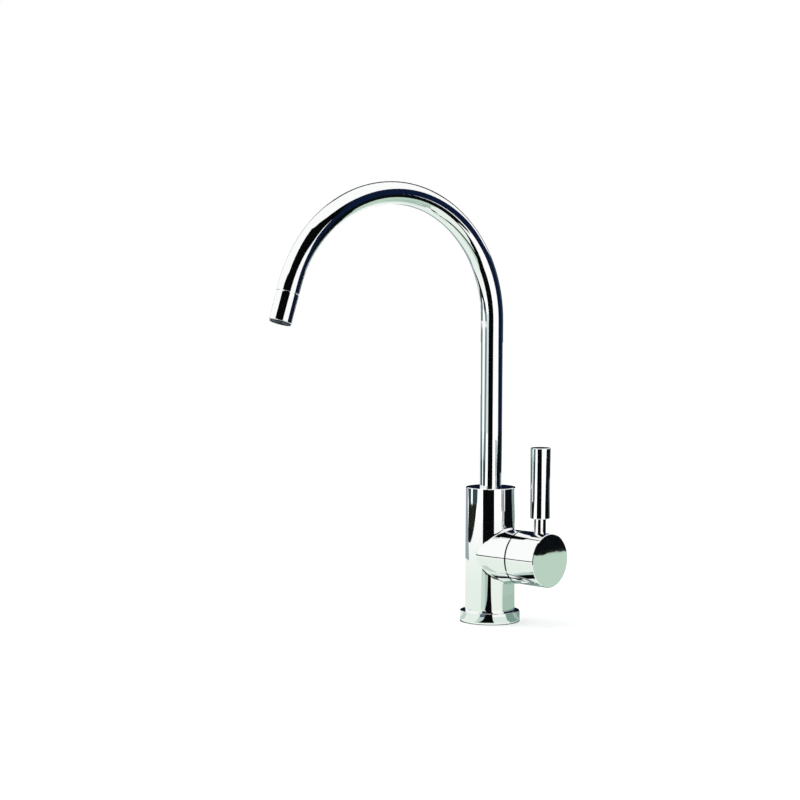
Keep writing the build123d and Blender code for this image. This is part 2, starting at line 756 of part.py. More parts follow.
# Aerator cage: a ring with a spoked grille, and a rim past the sleeve with notches for its key.
cage_start = 15.0
rim_height = 1.2
cage_end = nozzle_length + rim_height - 0.4
rim_radius = tube_radius - 0.75
cage_bore = end_thread_radius - 0.9
core_radius = filtered_radius + 0.8
grille_height = 2.0
with BuildPart() as aerator_cage:
    with BuildSketch(nozzle_start.offset(cage_start)):
        Circle(end_thread_radius)
        Circle(cage_bore, mode=Mode.SUBTRACT)
    extrude(amount=cage_end - cage_start)
    with BuildSketch(nozzle_start.offset(cage_end - grille_height)):
        Circle((cage_bore + core_radius) / 2 + 0.35)
        Circle((cage_bore + core_radius) / 2 - 0.35, mode=Mode.SUBTRACT)
        with PolarLocations((cage_bore + core_radius) / 2, 16):
            Rectangle(cage_bore - core_radius + 0.2, 0.7)
        Circle(core_radius, mode=Mode.SUBTRACT)
    extrude(amount=grille_height)
    with BuildSketch(nozzle_start.offset(nozzle_length)):
        Circle(rim_radius)
        Circle(cage_bore, mode=Mode.SUBTRACT)
    extrude(amount=rim_height)
    with BuildSketch(nozzle_start.offset(nozzle_length + rim_height / 3)):
        with PolarLocations(rim_radius, 12):
            Rectangle(1.2, 1.8)
    extrude(amount=rim_height, mode=Mode.SUBTRACT)

# Two fine screens that mix air into the ring of water.
with BuildPart() as aerator_screens:
    for distance in (cage_start + 3.0, cage_start + 5.5):
        with BuildSketch(nozzle_start.offset(distance)):
            Circle(cage_bore)
            Circle(core_radius, mode=Mode.SUBTRACT)
            with PolarLocations(core_radius + 0.95, 16):
                Circle(0.4, mode=Mode.SUBTRACT)
            with PolarLocations(core_radius + 2.2, 24):
                Circle(0.4, mode=Mode.SUBTRACT)
        extrude(amount=0.6)

# Core: takes the filtered water tube and leads its water out through the middle.
with BuildPart() as filtered_outlet_core:
    with BuildSketch(nozzle_start.offset(core_start)):
        Circle(core_radius)
    extrude(amount=cage_end - 0.4 - core_start)
    with BuildSketch(nozzle_start.offset(core_start)):
        Circle(filtered_radius)
    extrude(amount=core_socket, mode=Mode.SUBTRACT)
    with BuildSketch(nozzle_start.offset(core_start)):
        Circle(filtered_tube_bore / 2)
    extrude(amount=cage_end - core_start, mode=Mode.SUBTRACT)

# ================================================================ one file for each piece
pieces = {
    "tap_body": tap_body.part,
    "base_ring": base_ring.part,
    "deck_gasket": deck_gasket.part,
    "spout_grub_screw": spout_grub_screw.part,
    "spout_glide_bush": spout_glide_bush.part,
    "thrust_washer": thrust_washer.part,
    "cartridge_base": cartridge_base.part,
    "base_seals": base_seals,
    "disc_seals": disc_seals,
    "fixed_ceramic_disc": fixed_ceramic_disc.part,
    "cartridge_housing": cartridge_housing.part,
    "cartridge_nut": cartridge_nut.part,
    "cartridge_shroud": cartridge_shroud.part,
    "spindle_guide": spindle_guide.part,
    "spindle_pin": spindle_pin.part,
    "moving_ceramic_disc": moving_ceramic_disc.part,
    "disc_carrier": disc_carrier.part,
    "lever_spindle": lever_spindle.part,
    "lever_cap": lever_cap.part,
    "lever_stem": lever_stem.part,
    "lever_grip": lever_grip.part,
    "spout_tube": spout_tube.part,
    "spout_spigot": spout_spigot.part,
    "spout_o_rings": spout_o_rings.part,
    "filtered_water_tube": filtered_water_tube.part,
    "filtered_tube_o_ring": filtered_tube_o_ring.part,
    "spout_end_bush": spout_end_bush.part,
    "nozzle_seal": nozzle_seal.part,
    "nozzle_sleeve": nozzle_sleeve.part,
    "aerator_cage": aerator_cage.part,
    "aerator_screens": aerator_screens.part,
    "filtered_outlet_core": filtered_outlet_core.part,
}
os.makedirs("parts", exist_ok=True)
for name, part in pieces.items():
    part.label = name
    export_step(part, f"parts/{name}.step")
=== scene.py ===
# %% [markdown]
# # A chrome swan neck tap in a white studio
#
# The tap's pieces come ready made, at their real size and in metres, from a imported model.
# This lesson gives them their finishes, adds the fine turned and woven detail that only
# shows close up, and then builds the studio round them. Chrome has next to no colour of
# its own, so most of the lesson is about what stands round the tap and is mirrored in it.

import json
import math

import bmesh
import bpy
from mathutils import Matrix, Vector


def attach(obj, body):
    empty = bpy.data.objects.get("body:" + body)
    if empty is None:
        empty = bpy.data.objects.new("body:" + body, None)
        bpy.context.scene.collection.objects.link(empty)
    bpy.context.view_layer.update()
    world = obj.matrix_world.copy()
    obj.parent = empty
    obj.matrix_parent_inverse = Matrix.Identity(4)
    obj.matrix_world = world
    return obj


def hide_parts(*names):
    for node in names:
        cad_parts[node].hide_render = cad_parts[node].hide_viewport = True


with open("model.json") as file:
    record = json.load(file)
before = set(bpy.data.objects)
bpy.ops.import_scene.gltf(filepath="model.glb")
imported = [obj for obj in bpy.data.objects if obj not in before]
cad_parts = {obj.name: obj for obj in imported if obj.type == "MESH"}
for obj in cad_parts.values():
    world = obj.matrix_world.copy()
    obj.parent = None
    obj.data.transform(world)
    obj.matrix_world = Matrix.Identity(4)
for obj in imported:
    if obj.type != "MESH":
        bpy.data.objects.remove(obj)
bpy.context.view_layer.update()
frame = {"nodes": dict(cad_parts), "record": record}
tap = frame["nodes"]

# %% [markdown]
# ## Helpers for materials
#
# A colour is picked from a swatch, which is an sRGB hex value, while the shader works in linear
# light, so one function turns the first into the second. A second function adds any shader node
# with its settings and its links in one line. Some of a node's sockets share one name, and those
# are reached by number. Each material could be built by hand in the shader editor, but written out
# like this it can be read and repeated.

# %% Colours and nodes
FACTOR, FIRST, SECOND, MIXED = 0, 6, 7, 2  # the colour sockets of a Mix node


def linear(swatch):
    """An sRGB hex colour as linear red, green, blue and alpha."""
    channels = [int(swatch[start : start + 2], 16) / 255 for start in (1, 3, 5)]
    light = [c / 12.92 if c <= 0.04045 else ((c + 0.055) / 1.055) ** 2.4 for c in channels]
    return (*light, 1.0)


def add(tree, kind, settings=None, links=None):
    """Adds a node. Settings are its own properties or the values of its inputs."""
    node = tree.nodes.new("ShaderNode" + kind)
    for name, value in (settings or {}).items():
        if isinstance(name, str) and hasattr(node, name):
            setattr(node, name, value)
        else:
            node.inputs[name].default_value = value
    for name, output in (links or {}).items():
        tree.links.new(output, node.inputs[name])
    return node


def new_material(name):
    """A material whose only node gives the tap's own coordinates in metres."""
    material = bpy.data.materials.new(name)
    material.use_nodes = True
    tree = material.node_tree
    tree.nodes.clear()
    place = add(tree, "TexCoord").outputs["Object"]
    return material, tree, place


def finish_with(tree, shader):
    """Connects the last shader to the material's output."""
    add(tree, "OutputMaterial", links={"Surface": shader.outputs[0]})


def per_metre(millimetres):
    """The texture scale whose features are about this many millimetres apart."""
    return 1000 / millimetres


print("#808080 in linear light is", round(linear("#808080")[0], 3))

# %% [markdown]
# ## Chrome plate
#
# The body, ring, spout, nozzle and lever are brass with a bright layer of nickel and chrome,
# plated after the brass was buffed on cloth wheels. To the eye it is a mirror with a faint
# cool tint. Buffing leaves very shallow waves, a centimetre or two across, which make straight
# reflections waver a little, and wiping leaves a haze in soft streaks. It could be one flat
# metal shader, but then every reflection would be too perfect, so two noises are added: a
# wide one that tilts the surface by fractions of a degree, and one in the roughness.

# %% Chrome plate
BUFFING_MM, BUFFING_DEPTH = 16, 0.00004
HAZE_MM, HAZE_STRETCH = 7, 4
CLEAN_ROUGHNESS, HAZY_ROUGHNESS = 0.015, 0.045


def buffed_chrome_plate():
    """A mirror with shallow buffing waves and a haze in upright streaks."""
    material, tree, place = new_material("buffed_chrome_plate")
    buffing = add(
        tree, "TexNoise", {"Scale": per_metre(BUFFING_MM), "Detail": 1.0}, {"Vector": place}
    )
    waves = add(
        tree, "Bump", {"Strength": 1.0, "Distance": BUFFING_DEPTH}, {"Height": buffing.outputs[0]}
    )
    streak = add(tree, "Mapping", {"Scale": (1.0, 1.0, 1 / HAZE_STRETCH)}, {"Vector": place})
    haze = add(
        tree,
        "TexNoise",
        {"Scale": per_metre(HAZE_MM), "Detail": 4.0, "Roughness": 0.6},
        {"Vector": streak.outputs[0]},
    )
    gloss = add(
        tree,
        "MapRange",
        {"From Min": 0.35, "From Max": 0.75, "To Min": CLEAN_ROUGHNESS, "To Max": HAZY_ROUGHNESS},
        {"Value": haze.outputs[0]},
    )
    shader = add(
        tree,
        "BsdfPrincipled",
        {"Base Color": linear("#FAFBFB"), "Metallic": 1.0},
        {"Roughness": gloss.outputs[0], "Normal": waves.outputs[0]},
    )
    finish_with(tree, shader)
    return material


finishes = {"polished_chrome": buffed_chrome_plate()}
print("made", finishes["polished_chrome"].name)

# %% [markdown]
# ## Bare metals inside
#
# The spout's spigot, its end bush and the cartridge's ring nut are turned brass, warm yellow
# and left as the lathe tool cut them. The grub screw, the pin, the spindle and the aerator's
# wire screens are stainless steel, greyer and harder. Both show the fine rings of turning,
# which a wave texture along the tap's height draws at the tool's feed.

# %% Turned brass and stainless steel
GROOVE_DEPTH = 0.00003
STAIN_MM, STAIN_ROUGHENS = 5, 0.12


def turned_metal(name, swatch, feed_mm, roughness):
    """Bare metal with the rings of a lathe tool and a few duller stains."""
    material, tree, place = new_material(name)
    rings = add(
        tree,
        "TexWave",
        {"bands_direction": "Z", "Scale": per_metre(feed_mm) / math.tau, "Distortion": 0.6},
        {"Vector": place},
    )
    groove = add(
        tree,
        "Bump",
        {"Strength": 0.35, "Distance": GROOVE_DEPTH},
        {"Height": rings.outputs["Fac"]},
    )
    stain = add(tree, "TexNoise", {"Scale": per_metre(STAIN_MM), "Detail": 3.0}, {"Vector": place})
    duller = roughness + STAIN_ROUGHENS
    dull = add(
        tree,
        "MapRange",
        {"From Min": 0.3, "From Max": 0.7, "To Min": roughness, "To Max": duller},
        {"Value": stain.outputs[0]},
    )
    shader = add(
        tree,
        "BsdfPrincipled",
        {"Base Color": linear(swatch), "Metallic": 1.0},
        {"Roughness": dull.outputs[0], "Normal": groove.outputs[0]},
    )
    finish_with(tree, shader)
    return material


finishes["bare_brass"] = turned_metal("turned_brass", "#D9B66B", feed_mm=0.35, roughness=0.22)
finishes["stainless_steel"] = turned_metal(
    "turned_stainless_steel", "#C2C4C6", feed_mm=0.25, roughness=0.2
)
print("made turned brass and stainless steel")

# %% [markdown]
# ## Plastics, rubber and ceramic
#
# The cartridge and the bushes are moulded acetal, a waxy off white plastic, and the shroud behind
# the lever's seam is the same plastic in black. That black is partly painted shade: it makes the
# seam read as the dark line that shade in a deep narrow gap gives. The nozzle's insert is a dark
# slate plastic, and its rim shows a little in the photo. Seals are black rubber with a matte,
# slightly grainy skin from their mould. The filtered water tube is extruded polyethylene, milky
# and smooth, and the two discs are alumina, lapped flat until they shine. Each is a dielectric
# with one tone that drifts a little and a fine skin, so one function makes them all from their own
# colour, gloss and grain.

# %% Moulded, extruded and lapped pieces
DRIFT_MM = 9
SHEER_DEPTH = 0.002  # how far light soaks into the sheer plastics
FINE = 0.00001  # how deep the grain of a smooth mould is


def moulded(name, swatch, second_swatch, grain_mm, grain_depth, roughness, ior, sheer=0.0):
    """A smooth dielectric whose tone drifts between two swatches, with a fine skin."""
    material, tree, place = new_material(name)
    drift = add(tree, "TexNoise", {"Scale": per_metre(DRIFT_MM), "Detail": 2.0}, {"Vector": place})
    tone = add(
        tree,
        "Mix",
        {"data_type": "RGBA", FIRST: linear(swatch), SECOND: linear(second_swatch)},
        {FACTOR: drift.outputs[0]},
    )
    grain = add(
        tree, "TexNoise", {"Scale": per_metre(grain_mm), "Detail": 3.0}, {"Vector": place}
    )
    skin = add(
        tree, "Bump", {"Strength": 0.5, "Distance": grain_depth}, {"Height": grain.outputs[0]}
    )
    shader = add(
        tree,
        "BsdfPrincipled",
        {"Roughness": roughness, "IOR": ior, "Subsurface Weight": sheer},
        {"Base Color": tone.outputs[MIXED], "Normal": skin.outputs[0]},
    )
    shader.inputs["Subsurface Scale"].default_value = SHEER_DEPTH
    finish_with(tree, shader)
    return material


mouldings = {
    # the material, its two swatches, grain in mm, grain depth, roughness, IOR and sheerness
    "acetal_plastic": ("moulded_acetal", "#E4E3DA", "#DAD9CF", 0.6, FINE, 0.38, 1.48, 0.1),
    # the black shroud is partly painted shade, for the seam's dark line
    "black_acetal": ("black_acetal_and_seam_shade", "#0C0C0D", "#121213", 0.6, FINE, 0.35, 1.48),
    "aerator_plastic": ("moulded_slate_plastic", "#2A3648", "#1B2433", 0.5, FINE, 0.3, 1.5),
    "seal_rubber": ("moulded_seal_rubber", "#1C1C1D", "#262627", 0.4, 3 * FINE, 0.65, 1.52),
    "alumina_ceramic": ("lapped_alumina", "#F1EFE8", "#EAE7DE", 0.8, FINE / 5, 0.12, 1.76),
    "polyethylene_tube": (
        "extruded_polyethylene",
        *("#E6ECEF", "#DDE4E8", 3.0, FINE, 0.3, 1.51, 0.2),
    ),
}
for finish, recipe in mouldings.items():
    finishes[finish] = moulded(*recipe)
print("made", len(finishes), "finishes")

# %% [markdown]
# ## Put the finishes on
#
# The record that comes with the model says which finish each piece takes, so the pieces
# are not listed by hand here: each one looks its own finish up.

# %% Give each piece its finish
for piece in frame["record"]["subparts"]:
    for material_slot in tap[piece["node"]].material_slots:
        material_slot.material = finishes[piece["material_slot"]]

# %% [markdown]
# ## A way to sweep a section
#
# Wire and screw threads are both one small section carried along a path. On the real pieces
# a die draws the wire and a tap cuts the thread. Here the section is written out as a ring
# of points at each step of the path, and each ring is joined to the next with four sided
# faces, which keeps full control of how a wire bends and how a thread runs out.

# %% Sweep rings into a mesh
def join_rings(mesh, rings, closed=False):
    """Joins equal rings of points into one skin, capped at both ends or closed on itself."""
    loops = [[mesh.verts.new(point) for point in ring] for ring in rings]
    if closed:
        loops.append(loops[0])
    for before, after in zip(loops, loops[1:]):
        for side in range(len(before)):
            other = (side + 1) % len(before)
            mesh.faces.new((before[side], before[other], after[other], after[side]))
    if not closed:
        mesh.faces.new(loops[0][::-1])
        mesh.faces.new(loops[-1])


def keep_piece(name, mesh, body, slot):
    """Turns a finished bmesh into a piece that rides on a body and has a finish."""
    bmesh.ops.recalc_face_normals(mesh, faces=mesh.faces)
    data = bpy.data.meshes.new(name)
    mesh.to_mesh(data)
    mesh.free()
    data.materials.append(finishes[slot])
    piece = bpy.data.objects.new(name, data)
    bpy.context.scene.collection.objects.link(piece)
    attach(piece, body)
    print(name, "has", len(data.vertices), "points")
    return piece


# %% [markdown]
# ## Woven screens in the nozzle
#
# Two stainless screens in the nozzle break the water up and mix air into it. The packed
# model has them as plain discs with holes. Real ones are woven: every wire goes over one
# crossing wire and under the next, and a crimped band holds the cut ends inside and out. An
# image of a mesh would be flat from close by, so each wire is modelled. The nozzle leans, so
# its axis is worked out from the spout's own sizes, and the screens are woven square to it.

# %% Woven wire screens
SWIVEL = math.radians(9.15)  # the spout at rest, to the left of straight over the sink
ARC_SWEEP = math.radians(162.4)
ARC_RADIUS, ARC_HEIGHT, STRAIGHT_END = 0.1135, 0.272, 0.0063

reach = Vector((-math.sin(SWIVEL), -math.cos(SWIVEL), 0.0))
upward = Vector((0.0, 0.0, 1.0))
outlet_axis = reach * math.sin(ARC_SWEEP) + upward * math.cos(ARC_SWEEP)
tube_end = (
    reach * ARC_RADIUS * (1 - math.cos(ARC_SWEEP))
    + upward * (ARC_HEIGHT + ARC_RADIUS * math.sin(ARC_SWEEP))
    + outlet_axis * STRAIGHT_END
)
sideways = reach.cross(upward)
crossways = outlet_axis.cross(sideways)

SCREEN_PLACES = (0.0183, 0.0208)  # down the nozzle from the tube's end
SCREEN_OUTER, SCREEN_INNER = 0.0075, 0.004
WIRE_PITCH, WIRE_RADIUS = 0.00075, 0.00012
STEPS_PER_PITCH = 2  # about one at each crossing wire and one between
BAND_WIDTH, BAND_HALF, BAND_STEPS = 0.0004, 0.00028, 60


def wire_runs(offset):
    """Where a wire at this offset from the middle crosses the ring shaped screen."""
    outer = math.sqrt(SCREEN_OUTER**2 - offset**2)
    if abs(offset) >= SCREEN_INNER:
        return [(-outer, outer)]
    inner = math.sqrt(SCREEN_INNER**2 - offset**2)
    return [(-outer, -inner), (inner, outer)]


weave = bmesh.new()
wires_each_way = math.floor(SCREEN_OUTER / WIRE_PITCH - 0.5)  # the last lies inside the band
for place_down in SCREEN_PLACES:
    middle = tube_end + outlet_axis * place_down
    for along_axis, over_axis, phase in ((sideways, crossways, 0), (crossways, sideways, 1)):
        for number in range(-wires_each_way, wires_each_way + 1):
            offset = number * WIRE_PITCH
            for start, end in wire_runs(offset):
                rings = []
                steps = max(2, round(STEPS_PER_PITCH * (end - start) / WIRE_PITCH))
                for step in range(steps + 1):
                    run = start + (end - start) * step / steps
                    swing = math.cos(math.pi * (run / WIRE_PITCH + number + phase))
                    centre = (
                        middle
                        + along_axis * run
                        + over_axis * offset
                        + outlet_axis * (swing * WIRE_RADIUS)
                    )
                    rings.append(
                        [
                            centre + over_axis * WIRE_RADIUS,
                            centre + outlet_axis * WIRE_RADIUS,
                            centre - over_axis * WIRE_RADIUS,
                            centre - outlet_axis * WIRE_RADIUS,
                        ]
                    )
                join_rings(weave, rings)
    for band_in, band_out in (
        (SCREEN_INNER, SCREEN_INNER + BAND_WIDTH),
        (SCREEN_OUTER - BAND_WIDTH, SCREEN_OUTER),
    ):
        rings = []
        for step in range(BAND_STEPS):
            angle = math.tau * step / BAND_STEPS
            outward = sideways * math.cos(angle) + crossways * math.sin(angle)
            rings.append(
                [
                    middle + outward * radius + outlet_axis * height
                    for radius, height in (
                        (band_in, -BAND_HALF),
                        (band_out, -BAND_HALF),
                        (band_out, BAND_HALF),
                        (band_in, BAND_HALF),
                    )
                ]
            )
        join_rings(weave, rings, closed=True)
screens = keep_piece("woven_wire_screens", weave, "spout", "stainless_steel")
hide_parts("aerator_screens")

# %% [markdown]
# ## Screw threads in the underside
#
# The three hose ports and the two stud holes are tapped after the body is plated, so their
# threads are bare brass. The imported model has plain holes, and its mounts say where each one
# opens. A tapped thread is one ridge that winds up the hole, with a flattened crest, and it
# starts and ends by fading out. The hoses take a fine thread of 1 mm pitch and the studs the
# usual 1.25 mm.

# %% Threads
HOSE_PITCH, STUD_PITCH = 0.001, 0.00125
STUD_HOLE_DEPTH = 0.018
RIDGE_HEIGHT, RIDGE_START = 0.6, 0.5  # parts of the pitch, as are the next two
ROOT_HALF, CREST_HALF = 0.44, 0.07
ROOT_SINK = 0.00005  # how far the ridge's root is let into the wall of the hole
TURN_STEPS = 24
FADE_STEPS = 14


def tapped_thread(name, mouth, hole_radius, pitch, length):
    """An internal thread, wound upwards from the mouth of a hole."""
    mesh = bmesh.new()
    rings = []
    total = (math.floor(length / pitch) - 1) * TURN_STEPS
    for step in range(total + 1):
        turn = step / TURN_STEPS
        full = min(1.0, (step + 1) / FADE_STEPS, (total - step + 1) / FADE_STEPS)
        root, crest = hole_radius + ROOT_SINK, hole_radius - RIDGE_HEIGHT * pitch * full
        profile = (
            (root, -ROOT_HALF),
            (crest, -CREST_HALF),
            (crest, CREST_HALF),
            (root, ROOT_HALF),
        )
        rings.append(
            [
                mouth
                + Vector(
                    (
                        radius * math.cos(math.tau * turn),
                        radius * math.sin(math.tau * turn),
                        pitch * (turn + RIDGE_START + rise),
                    )
                )
                for radius, rise in profile
            ]
        )
    join_rings(mesh, rings)
    return keep_piece(name, mesh, "body", "bare_brass")


for mount in frame["record"]["mounts"]:
    mouth, dims = Vector(mount["pos_m"]), mount["dims"]
    if mount["kind"] == "threaded_hole":
        radius, length = dims["r_mm"] / 1000, dims["length_mm"] / 1000
        tapped_thread(mount["name"] + "_thread", mouth, radius, HOSE_PITCH, length)
    if mount["kind"] == "bolt_pattern":
        radius, spacing = dims["hole_r_mm"] / 1000, dims["spacing_y_mm"] / 1000
        for side, shift in (("left", -spacing / 2), ("right", spacing / 2)):
            hole = mouth + Vector((0.0, shift, 0.0))
            tapped_thread(f"stud_thread_{side}", hole, radius, STUD_PITCH, STUD_HOLE_DEPTH)

# %% [markdown]
# ## The camera
#
# The view was found by laying the tap's own circles and straight edges over the photo. It
# is a long lens well back, a little above the spout's middle and a few degrees down, and
# the picture holds a small tilt. A long lens keeps the body's sides nearly upright.

# %% Camera
SENSOR_MM, LENS_MM = 36.0, 117.0
CAMERA_AZIMUTH = 41.23  # degrees from straight in front, towards the lever
CAMERA_DISTANCE, CAMERA_HEIGHT = 2.3308, 0.3726
TURN_LEFT, LOOK_DOWN, ROLL = 2.02, 4.23, 0.31  # degrees

camera_data = bpy.data.cameras.new("camera")
camera_data.sensor_width = SENSOR_MM
camera_data.lens = LENS_MM
camera = bpy.data.objects.new("camera", camera_data)
bpy.context.scene.collection.objects.link(camera)
bpy.context.scene.camera = camera


def round_the_tap(azimuth, distance, height):
    """A point by its azimuth in degrees from the camera's side, distance and height."""
    angle = math.radians(CAMERA_AZIMUTH + azimuth)
    return Vector((distance * math.sin(angle), -distance * math.cos(angle), height))


camera.matrix_world = (
    Matrix.Translation(round_the_tap(0, CAMERA_DISTANCE, CAMERA_HEIGHT))
    @ Matrix.Rotation(math.radians(CAMERA_AZIMUTH + TURN_LEFT), 4, "Z")
    @ Matrix.Rotation(math.radians(90 - LOOK_DOWN), 4, "X")
    @ Matrix.Rotation(math.radians(ROLL), 4, "Z")
)
print("camera at", [round(value, 3) for value in camera.location])

# %% [markdown]
# ## White surroundings
#
# The photo's background is pure white. The world is plain studio light for what it lights,
# and reads as clean white wherever the camera or a mirror looks straight at it. The floor
# does the same on top of its own lit surface, so it still darkens softly where the tap
# stands on it.

# %% World and floor
LIT_LEVEL = 0.75  # the world as it lights things; the lamp adds the rest of a plain level
SEEN_LEVEL = 1.0
FLOOR_LIFT = 0.4  # enough to reach white in the open, and not in the shadow by the base
FLOOR_SIZE = 30


def seen_rather_than_lit(tree):
    """One for rays from the camera, mirrors and clear things, and nothing for soft light."""
    ray = add(tree, "LightPath")
    mirror = add(
        tree,
        "Math",
        {"operation": "ADD"},
        {0: ray.outputs["Is Camera Ray"], 1: ray.outputs["Is Glossy Ray"]},
    )
    return add(
        tree,
        "Math",
        {"operation": "ADD", "use_clamp": True},
        {0: mirror.outputs[0], 1: ray.outputs["Is Transmission Ray"]},
    )


world = bpy.data.worlds.new("white_studio")
bpy.context.scene.world = world
world.use_nodes = True
world_tree = world.node_tree
world_tree.nodes.clear()
level = add(
    world_tree,
    "MapRange",
    {"To Min": LIT_LEVEL, "To Max": SEEN_LEVEL},
    {"Value": seen_rather_than_lit(world_tree).outputs[0]},
)
white = add(
    world_tree, "Background", {"Color": linear("#FFFFFF")}, {"Strength": level.outputs["Result"]}
)
add(world_tree, "OutputWorld", links={"Surface": white.outputs[0]})

floor_material, floor_tree, _ = new_material("white_floor")
matte = add(floor_tree, "BsdfDiffuse", {"Color": linear("#E9EBEA")})
lift = add(
    floor_tree,
    "Math",
    {"operation": "MULTIPLY", 1: FLOOR_LIFT},
    {0: seen_rather_than_lit(floor_tree).outputs[0]},
)
glow = add(floor_tree, "Emission", {"Color": linear("#FFFFFF")}, {"Strength": lift.outputs[0]})
together = add(floor_tree, "AddShader", links={0: matte.outputs[0], 1: glow.outputs[0]})
finish_with(floor_tree, together)

bpy.ops.mesh.primitive_grid_add(x_subdivisions=2, y_subdivisions=2, size=FLOOR_SIZE)
floor = bpy.context.object
floor.name = "floor"
floor.data.materials.append(floor_material)
print("world and floor are white")

# %% [markdown]
# ## A card by its edges
#
# Mirror chrome shows only its surroundings, so a photographer shapes it with cards: dark
# cloths give the crisp black stripes, and gaps between them stay white. The stripes in the
# photo were traced back, off the pipe's curve and out into the room, to find how wide each
# card is and where it stands. A painted picture of a room would be quicker, but flat cards
# at a real distance shift as they should in a curve this close. Each card is a sheet between
# two edges, bent round the tap in short steps. It is seen only by mirrors: it casts no
# shadow and adds no light, and the camera looks through it from every side.

# %% How a card is made
DEGREES_PER_FACE = 2


def card(name, swatch, near_edge, far_edge):
    """A sheet between two edges, each a list of (azimuth, distance, height), left to right."""

    def along(edge, share):
        """The point at this share of an edge, measured by azimuth."""
        azimuth = edge[0][0] + (edge[-1][0] - edge[0][0]) * share
        for start, end in zip(edge, edge[1:]):
            if start[0] <= azimuth <= end[0]:
                part = (azimuth - start[0]) / (end[0] - start[0])
                return [a + (b - a) * part for a, b in zip(start, end)]
        return edge[-1]

    steps = max(2, round((near_edge[-1][0] - near_edge[0][0]) / DEGREES_PER_FACE))
    mesh = bmesh.new()
    rows = []
    for step in range(steps + 1):
        ends = [round_the_tap(*along(edge, step / steps)) for edge in (near_edge, far_edge)]
        rows.append([mesh.verts.new(point) for point in ends])
    for (a, b), (c, d) in zip(rows, rows[1:]):
        mesh.faces.new((a, b, d, c))
    data = bpy.data.meshes.new(name)
    mesh.to_mesh(data)
    mesh.free()
    material, tree, _ = new_material(name)
    finish_with(tree, add(tree, "Emission", {"Color": linear(swatch), "Strength": 1.0}))
    data.materials.append(material)
    sheet = bpy.data.objects.new(name, data)
    bpy.context.scene.collection.objects.link(sheet)
    sheet.visible_camera = sheet.visible_diffuse = sheet.visible_shadow = False
    sheet.visible_transmission = sheet.visible_volume_scatter = False
    return sheet


def in_bands(name, swatch, levels):
    """Cards from each level of a cloth or painted shadow to the next, where its width changes."""
    return [
        (f"{name}_{number}", swatch, level, next_level)
        for number, (level, next_level) in enumerate(zip(levels, levels[1:]))
    ]


print("cards bend every", DEGREES_PER_FACE, "degrees")

# %% [markdown]
# ## Upright cards
#
# A black curtain hangs behind the camera. It is drawn aside at its left edge, so it is widest
# a little above one metre, and a pale cloth hangs beside its foot. A navy screen stands to
# the right, and between the two a white window is left under a black valance with a curved
# hem. Slate and dark blue walls close the room behind the tap. Each hangs two metres off, far
# enough to give a straight stripe, and a low grey card stands nearer on the far side.

# %% Hang the upright cards
ROOM = 2.0  # how far off the walls are
BLACK, NAVY = "#07080A", "#0E1A34"


def hang(name, swatch, lower_edge, upper_edge, distance=ROOM):
    """An upright card between two edges, each a list of (azimuth, height)."""
    edges = [
        [(azimuth, distance, height) for azimuth, height in edge]
        for edge in (lower_edge, upper_edge)
    ]
    card(name, swatch, *edges)


curtain_levels = [
    [(-33.5, 0.0), (15, 0.0)],
    [(-38, 0.5), (13, 0.5)],
    [(-54, 1.05), (12, 1.05)],
    [(-54, 1.25), (12, 1.25)],
    [(-38, 1.5), (12, 1.5)],
    [(-38, 4.3), (12, 3.5)],
]
valance_hem = [(12, 0.5), (18, 0.64), (24, 0.76), (30, 0.87), (38, 0.93), (46, 0.94)]
valance_hem += [(50, 1.05), (56, 1.05), (62, 0.8)]
valance_top = [(12, 3.5), (30, 2.75), (45, 2.3), (62, 1.9)]
upright_cards = in_bands("curtain_behind_camera", BLACK, curtain_levels) + [
    ("valance_over_window", BLACK, valance_hem, valance_top),
    ("navy_screen", NAVY, [(74, 0.0), (124, 0.0)], [(57, 0.8), (124, 0.9)]),
    ("navy_screen_top", NAVY, [(57, 0.8), (124, 0.9)], [(58, 1.9), (95, 1.55), (124, 1.1)]),
    ("slate_screen", "#364450", [(124, 0.0), (152, 0.0)], [(124, 0.8), (152, 0.6)]),
    ("pale_cloth_by_curtain", "#DCE9EA", [(-52, 0.0), (-33.5, 0.0)], [(-52, 0.5), (-38, 0.5)]),
    ("grey_back_card", "#A9B9BB", [(-184, 0.0), (-137, 0.0)], [(-184, 0.12), (-137, 0.12)], 1.2),
    (
        "dark_wall_behind",
        "#0E1326",
        [(150, 0.15), (208, 0.15)],
        [(150, 1.6), (180, 2.1), (208, 2.1)],
    ),
]
for upright_card in upright_cards:
    hang(*upright_card)
print("hung", len(upright_cards), "upright cards")

# %% [markdown]
# ## Cloths on the floor
#
# The body, the boss and the ring look down at the floor, so their stripes come from what lies
# there. Black cloths lie before the camera and to the right. A narrow black tongue that runs out
# from them to the ring is painted shadow: it stands for the tap's own shadow on the floor as the
# chrome mirrors it, and two grey sheets beside it are painted soft shade at its edge. Brown, slate
# and blue strips lie to the left, and grey and green mats close round the tap, with a grey ring of
# painted contact shadow where the ring stands. They lie on each other in thin layers, as real
# cloths do, and each shows where nothing lies on top of it.

# %% Lay the cloths, the painted shadow and the painted shade
# The tongue is painted shadow: a black sheet that stands for the tap's own shadow on the floor,
# which the lower body and the ring mirror. It widens towards the ring.
painted_shadow_levels = [
    [(-26, 0.03), (10, 0.03)],
    [(-13, 0.085), (8, 0.085)],
    [(-21, 0.095), (8, 0.095)],
    [(-18, 0.12), (7.5, 0.12)],
    [(-13, 0.17), (5, 0.17)],
    [(-11, 0.335), (2.5, 0.335)],
]
cloth_front = [(-37, 0.36), (-20, 0.33), (15, 0.325)]
window_front = [(14.5, 0.32), (37, 0.43), (62, 0.46)]
right_front = [(48, 0.46), (75, 0.48), (88, 0.528), (92, 0.54), (95, 0.567), (98, 0.572)]
right_front += [(110, 0.5), (142, 0.56)]
RING_EDGE, MAT_INNER = 0.0272, 0.033  # a shade lies between these, where the ring stands

